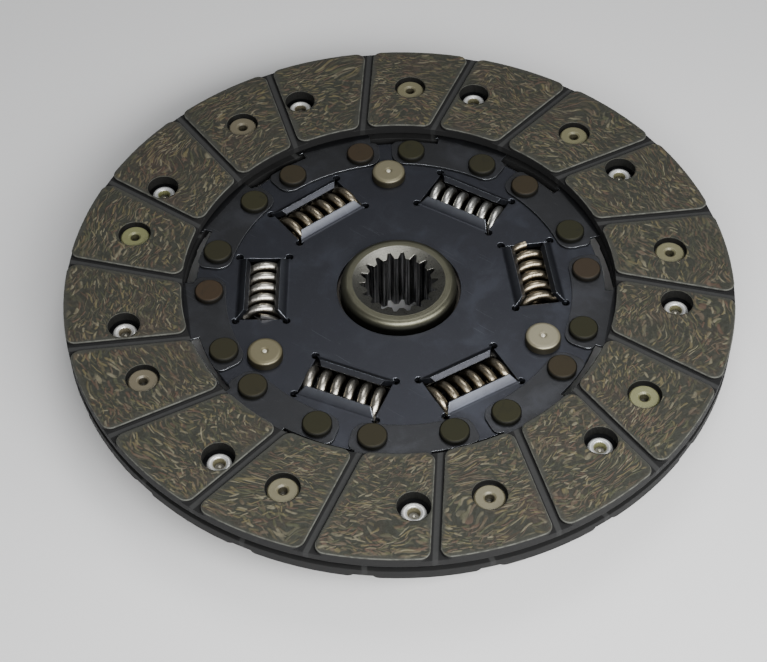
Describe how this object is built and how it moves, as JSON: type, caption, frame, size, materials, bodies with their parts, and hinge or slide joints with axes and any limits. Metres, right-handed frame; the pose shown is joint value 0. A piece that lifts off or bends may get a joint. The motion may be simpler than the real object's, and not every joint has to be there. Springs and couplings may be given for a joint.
{
  "type": "clutch disc",
  "caption": "Sprung clutch disc: two grooved friction rings riveted to waved cushion segments, coil damper springs in plate windows, stop pins and a splined steel hub",
  "frame": {"origin": "on the hub axis, at the mid-plane between the two friction facings", "axes": "+Z along the hub axis, out of the front side that shows the segment feet; +Y through one stop pin"},
  "size_m": [0.2, 0.2, 0.0251],
  "materials": {
    "friction_lining": "moulded resin and fibre friction material, chopped fibres showing, matte",
    "facing_rivet_steel": "yellow-plated tubular rivets",
    "black_rivet_steel": "black oxide with an olive cast",
    "phosphated_plate": "dark phosphated sheet steel, satin",
    "hub_steel": "forged and machined steel, lightly oiled",
    "washer_resin": "moulded friction material",
    "spring_sheet": "spring steel sheet",
    "segment_steel": "hardened spring steel sheet, dark",
    "spring_wire": "shot-peened spring wire with a bronze cast",
    "pin_zinc": "zinc-plated turned pins with a yellow cast"
  },
  "bodies": {
    "disc": {"front_facing": "friction_lining", "rear_facing": "friction_lining", "front_facing_rivets": "facing_rivet_steel", "rear_facing_rivets": "facing_rivet_steel", "segment_rivets": "black_rivet_steel", "disc_plate": "phosphated_plate", "retainer_plate": "phosphated_plate", "front_friction_washer": "washer_resin", "rear_friction_washer": "washer_resin", "disc_spring": "spring_sheet", "cushion_segment_1": "segment_steel", "cushion_segment_2": "segment_steel", "cushion_segment_3": "segment_steel", "cushion_segment_4": "segment_steel", "cushion_segment_5": "segment_steel", "cushion_segment_6": "segment_steel", "cushion_segment_7": "segment_steel", "cushion_segment_8": "segment_steel", "cushion_segment_9": "segment_steel", "damper_spring_1": "spring_wire", "damper_spring_2": "spring_wire", "damper_spring_3": "spring_wire", "damper_spring_4": "spring_wire", "damper_spring_5": "spring_wire", "damper_spring_6": "spring_wire", "stop_pin_1": "pin_zinc", "stop_pin_2": "pin_zinc", "stop_pin_3": "pin_zinc"},
    "hub": {"hub": "hub_steel"}
  },
  "joints": [
    {"name": "hub_twist", "type": "hinge", "parent": "disc", "child": "hub", "pos_m": [0, 0, 0], "axis": [0, 0, 1], "range_deg": [-6, 6], "stiffness_Nm_per_rad": 4, "deforming": ["damper_spring_1", "damper_spring_2", "damper_spring_3", "damper_spring_4", "damper_spring_5", "damper_spring_6"]}
  ]
}
